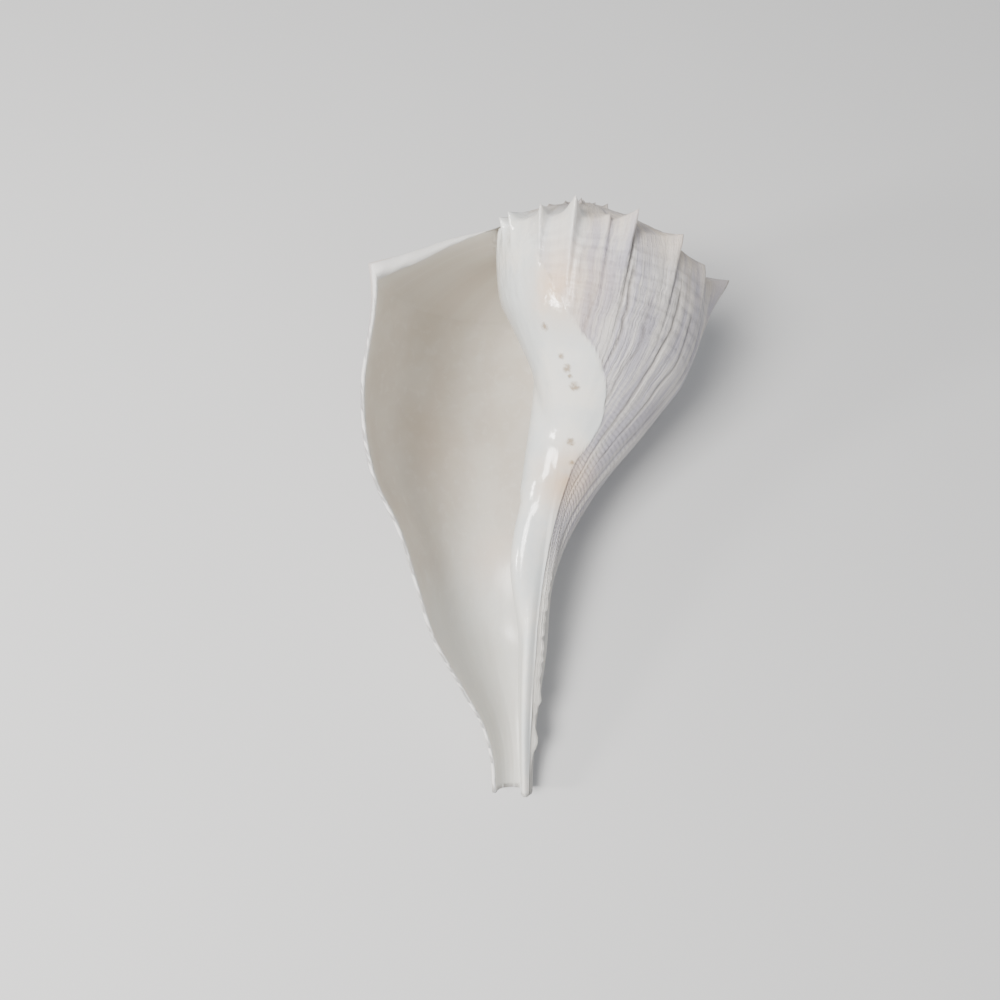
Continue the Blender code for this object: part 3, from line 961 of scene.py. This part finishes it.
class ShellGraph(Graph):
    """The shell's material, with the facts and noises that several of its layers share."""

    def __init__(self):
        super().__init__("shell_bleached_and_glazed")
        self.coil, self.drop = self.fact("coil"), self.fact("drop")
        self.glaze, self.inside = self.fact("glaze"), self.fact("inside")
        self.groove, self.rim, self.low = self.fact("groove"), self.fact("rim"), self.fact("low")
        self.across = self.math("DIVIDE", self.coil, BAND_UNIT)
        self.down = self.math("DIVIDE", self.drop, BAND_UNIT)
        wander = self.noise(self.join(self.across, self.math("MULTIPLY", self.down, 1.2)), 2.5)
        self.waver = self.math("MULTIPLY_ADD", wander, 0.10, self.across)
        self.bands = self.streaks(0.10, 0.0, 9.0, 5.0, 0.62)
        self.blotch = self.noise(self.place(), 38.0, 4.0)
        self.clouds = self.noise(self.place(), 60.0, 4.0)

    def streaks(self, stretch, layer, scale, detail, roughness=0.55):
        """Noise drawn out along the growth lines, the more the smaller the stretch."""
        along = self.join(self.waver, self.math("MULTIPLY", self.down, stretch), layer)
        return self.noise(along, scale, detail, roughness)

    def without(self, value, layer):
        """The value where a layer isn't."""
        return self.math("MULTIPLY", value, self.math("SUBTRACT", 1.0, layer))


def chalky_outside(g, stains):
    """Bands along the growth lines, warm near the spines, with painted shade in the grooves and on the
    spire's shoulders.
    """
    color = g.mix(g.range(g.bands, 0.42, 0.58), COOL, PALE)
    color = g.mix(g.range(g.streaks(0.05, 3.0, 42.0, 3.0), 0.52, 0.66, 0.0, 0.42), color, LINE)
    color = g.mix(g.range(g.blotch, 0.52, 0.72, 0.0, 0.45), color, CREAM)
    high = g.range(g.drop, -6.0, 16.0, 1.0, 0.0)
    color = g.mix(g.math("MULTIPLY", high, g.range(g.bands, 0.35, 0.65, 0.35, 0.8)), color, CREAM)
    color = g.mix(g.math("MULTIPLY", g.low, g.range(g.blotch, 0.3, 0.6, 0.55, 0.95)), color, PORCELAIN)
    # Painted shade on the shoulders, darker towards the sutures
    color = g.mix(g.range(g.drop, -24.0, -3.0, 0.35, 0.0), color, SHADE)
    # Painted shade in the grooves, crevices, along the callus edge and in the sutures
    color = g.mix(g.math("MULTIPLY", g.groove, 0.85), color, GROOVE_SHADE)
    for stain in stains:
        color = g.mix(g.math("MULTIPLY", stain, 0.6), color, TAN)
    return color


def glazed_callus(g, stains):
    """Bluish white with warm stains and a few brown specks."""
    color = g.mix(g.range(g.clouds, 0.38, 0.66), BLUISH, PORCELAIN)
    for stain in stains:
        color = g.mix(stain, color, TAN)
    ragged = g.noise(g.place(), 900.0, 3.0)
    for centre, reach in SPECKS:
        pit = g.range(g.math("MULTIPLY", g.spot(centre, 1.5 * reach), ragged), 0.10, 0.50)
        color = g.mix(g.math("MULTIPLY", pit, 0.75), color, BROWN)
    return color


def satin_inside(g):
    """Beige, with a soft brown smear, paler bands along the growth lines and a bluish canal."""
    color = g.mix(g.range(g.noise(g.join(g.across, g.down), 3.0, 3.0), 0.35, 0.65), BEIGE, IVORY)
    color = g.mix(g.range(g.streaks(1.0, 7.0, 14.0, 2.0), 0.5, 0.75, 0.0, 0.35), color, PORCELAIN)
    for centre, reach, strength, tint in SMEARS:
        color = g.mix(g.math("MULTIPLY", g.spot(centre, reach), strength), color, tint)
    color = g.mix(g.math("MULTIPLY", g.range(g.drop, 84.0, 126.0), 0.55), color, BLUISH)
    return g.mix(g.range(g.coil, 1.0, 16.0, 0.75, 0.0), color, PORCELAIN)


def shell_color(g):
    """The three layers one over the other, and the pale rim of the lip."""
    stains = []
    for centre, reach, strength in STAINS:
        uneven = g.range(g.clouds, 0.30, 0.60, 0.5 * strength, strength)
        stains.append(g.math("MULTIPLY", g.spot(centre, reach), uneven))
    color = g.mix(g.glaze, chalky_outside(g, stains), glazed_callus(g, stains))
    color = g.mix(g.inside, color, satin_inside(g))
    return g.mix(g.range(g.rim, 0.35, 0.95, 0.0, 0.7), color, RIM)


def shell_roughness(g):
    chalk = g.range(g.blotch, 0.3, 0.7, 0.50, 0.66)
    outside = g.math("ADD", g.without(chalk, g.glaze), g.math("MULTIPLY", g.glaze, GLAZE_ROUGHNESS))
    satin = g.math("MULTIPLY_ADD", g.noise(g.place(), 90.0), 0.10, 0.26)
    return g.math("ADD", g.without(outside, g.inside), g.math("MULTIPLY", g.inside, satin))


def spiral_waves(g, scale, waver, waves):
    """Waves that run round the whorl, with a little waver."""
    shift = g.noise(g.join(g.across, g.down), scale)
    return g.math("SINE", g.math("MULTIPLY_ADD", shift, waver, g.math("MULTIPLY", g.drop, waves)))


def chalk_bump(g):
    """Spiral cords at the base, hoops below the shoulder, growth striae and grain."""
    depth = g.math("MULTIPLY_ADD", g.range(g.drop, 60.0, 95.0), 1.5, 0.16)
    depth = g.math("MULTIPLY", depth, g.range(g.drop, 160.0, 200.0, 1.0, 0.2))
    cords = g.math("MULTIPLY", spiral_waves(g, 6.0, 3.0, 2.7), depth)
    striae = g.math("MULTIPLY", g.streaks(0.04, 5.0, 60.0, 4.0, 0.65), 1.3)
    where = g.math("MULTIPLY", g.range(g.drop, 5.0, 14.0), g.range(g.drop, 42.0, 62.0, 0.45, 0.0))
    hoops = g.math("MULTIPLY", spiral_waves(g, 5.0, 4.0, 1.05), where)
    grain = g.math("MULTIPLY", g.noise(g.place(), 900.0, 3.0), 0.35)
    relief = g.math("ADD", g.math("MULTIPLY_ADD", cords, 0.16, striae), g.math("ADD", hoops, grain))
    return g.without(g.without(relief, g.glaze), g.inside)


def shell_bump(g):
    """Bump of the outside, the callus's dimples and the soft streaks of the inside."""
    pocks = g.math("MULTIPLY", g.range(g.drop, 5.0, 70.0, 1.0, 0.3), 0.9)
    dimples = g.math("MULTIPLY", g.noise(g.place(), 420.0, 2.0), g.math("MULTIPLY", g.glaze, pocks))
    soft = g.math("MULTIPLY", g.streaks(1.0, 9.0, 22.0, 2.0), g.math("MULTIPLY", g.inside, 0.10))
    bump = g.nodes.new("ShaderNodeBump")
    bump.inputs["Strength"].default_value = BUMP_STRENGTH
    bump.inputs["Distance"].default_value = BUMP_DISTANCE
    g.put(g.math("ADD", g.math("ADD", chalk_bump(g), dimples), soft), bump.inputs["Height"])
    return bump.outputs["Normal"]


def shell_material():
    g = ShellGraph()
    g.put(shell_color(g), g.shader.inputs["Base Color"])
    g.put(shell_roughness(g), g.shader.inputs["Roughness"])
    g.put(g.math("MULTIPLY", g.glaze, COAT), g.shader.inputs["Coat Weight"])
    g.shader.inputs["Coat Roughness"].default_value = COAT_ROUGHNESS
    g.shader.inputs["Subsurface Weight"].default_value = SUBSURFACE
    g.shader.inputs["Subsurface Radius"].default_value = SUBSURFACE_RADIUS
    g.shader.inputs["Subsurface Scale"].default_value = SUBSURFACE_SCALE
    g.put(shell_bump(g), g.shader.inputs["Normal"])
    return g.material


def floor_material():
    g = Graph("studio_floor")
    g.put(g.mix(g.noise(g.place(), 6.0), *FLOOR_GREYS), g.shader.inputs["Base Color"])
    g.shader.inputs["Roughness"].default_value = FLOOR_ROUGHNESS
    return g.material


def lay_down(shell):
    """Turn the shell onto its back, with its box centred over the solid's and as low."""
    turn = Matrix.Rotation(math.radians(REST_TILT), 4, "X") @ Matrix.Rotation(math.radians(REST_ROLL), 4, "Y")
    shell.data.transform(turn @ Matrix.Rotation(math.radians(-90), 4, "X"))
    spots = np.empty(len(shell.data.vertices) * 3, np.float32)
    shell.data.vertices.foreach_get("co", spots)
    spots = spots.reshape(-1, 3)
    low, high = spots.min(axis=0), spots.max(axis=0)
    move = (np.array(cad_low) + np.array(cad_high) - low - high) / 2
    move[2] = cad_low[2] - low[2]
    shell.data.transform(Matrix.Translation([float(value) for value in move]))


def add_shell():
    shell = bpy.data.objects.new("shell", shell_surface().build("shell"))
    bpy.context.scene.collection.objects.link(shell)
    lay_down(shell)
    shell.data.materials.append(shell_material())
    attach(shell, "root")
    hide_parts(NODE)


def add_floor():
    data = bpy.data.meshes.new("floor")
    corners = [(FLOOR_HALF * x, FLOOR_HALF * y, 0) for x, y in ((-1, -1), (1, -1), (1, 1), (-1, 1))]
    data.from_pydata(corners, [], [(0, 1, 2, 3)])
    floor = bpy.data.objects.new("floor", data)
    bpy.context.scene.collection.objects.link(floor)
    data.materials.append(floor_material())


def add_light(name, spot, size, power, color):
    """Square light that shines at the origin."""
    light = bpy.data.lights.new(name, "AREA")
    light.size, light.energy, light.color = size, power, color
    lamp = bpy.data.objects.new(name, light)
    lamp.location = spot
    lamp.rotation_euler = (-Vector(spot)).to_track_quat("-Z", "Y").to_euler()
    bpy.context.scene.collection.objects.link(lamp)


def add_camera():
    camera = bpy.data.objects.new("camera", bpy.data.cameras.new("camera"))
    camera.data.sensor_width = SENSOR
    camera.data.lens = LENS
    camera.data.clip_start, camera.data.clip_end = 0.01, 20.0
    camera.location = CAMERA_AT
    camera.rotation_euler = Euler([math.radians(angle) for angle in CAMERA_TURN], "XYZ")
    bpy.context.scene.collection.objects.link(camera)
    bpy.context.scene.camera = camera


def add_world():
    world = bpy.data.worlds.new("studio")
    world.use_nodes = True
    sky = world.node_tree.nodes["Background"]
    sky.inputs["Color"].default_value = SKY
    sky.inputs["Strength"].default_value = SKY_STRENGTH
    bpy.context.scene.world = world


add_shell()
add_floor()
add_world()
for light in LIGHTS:
    add_light(*light)
add_camera()
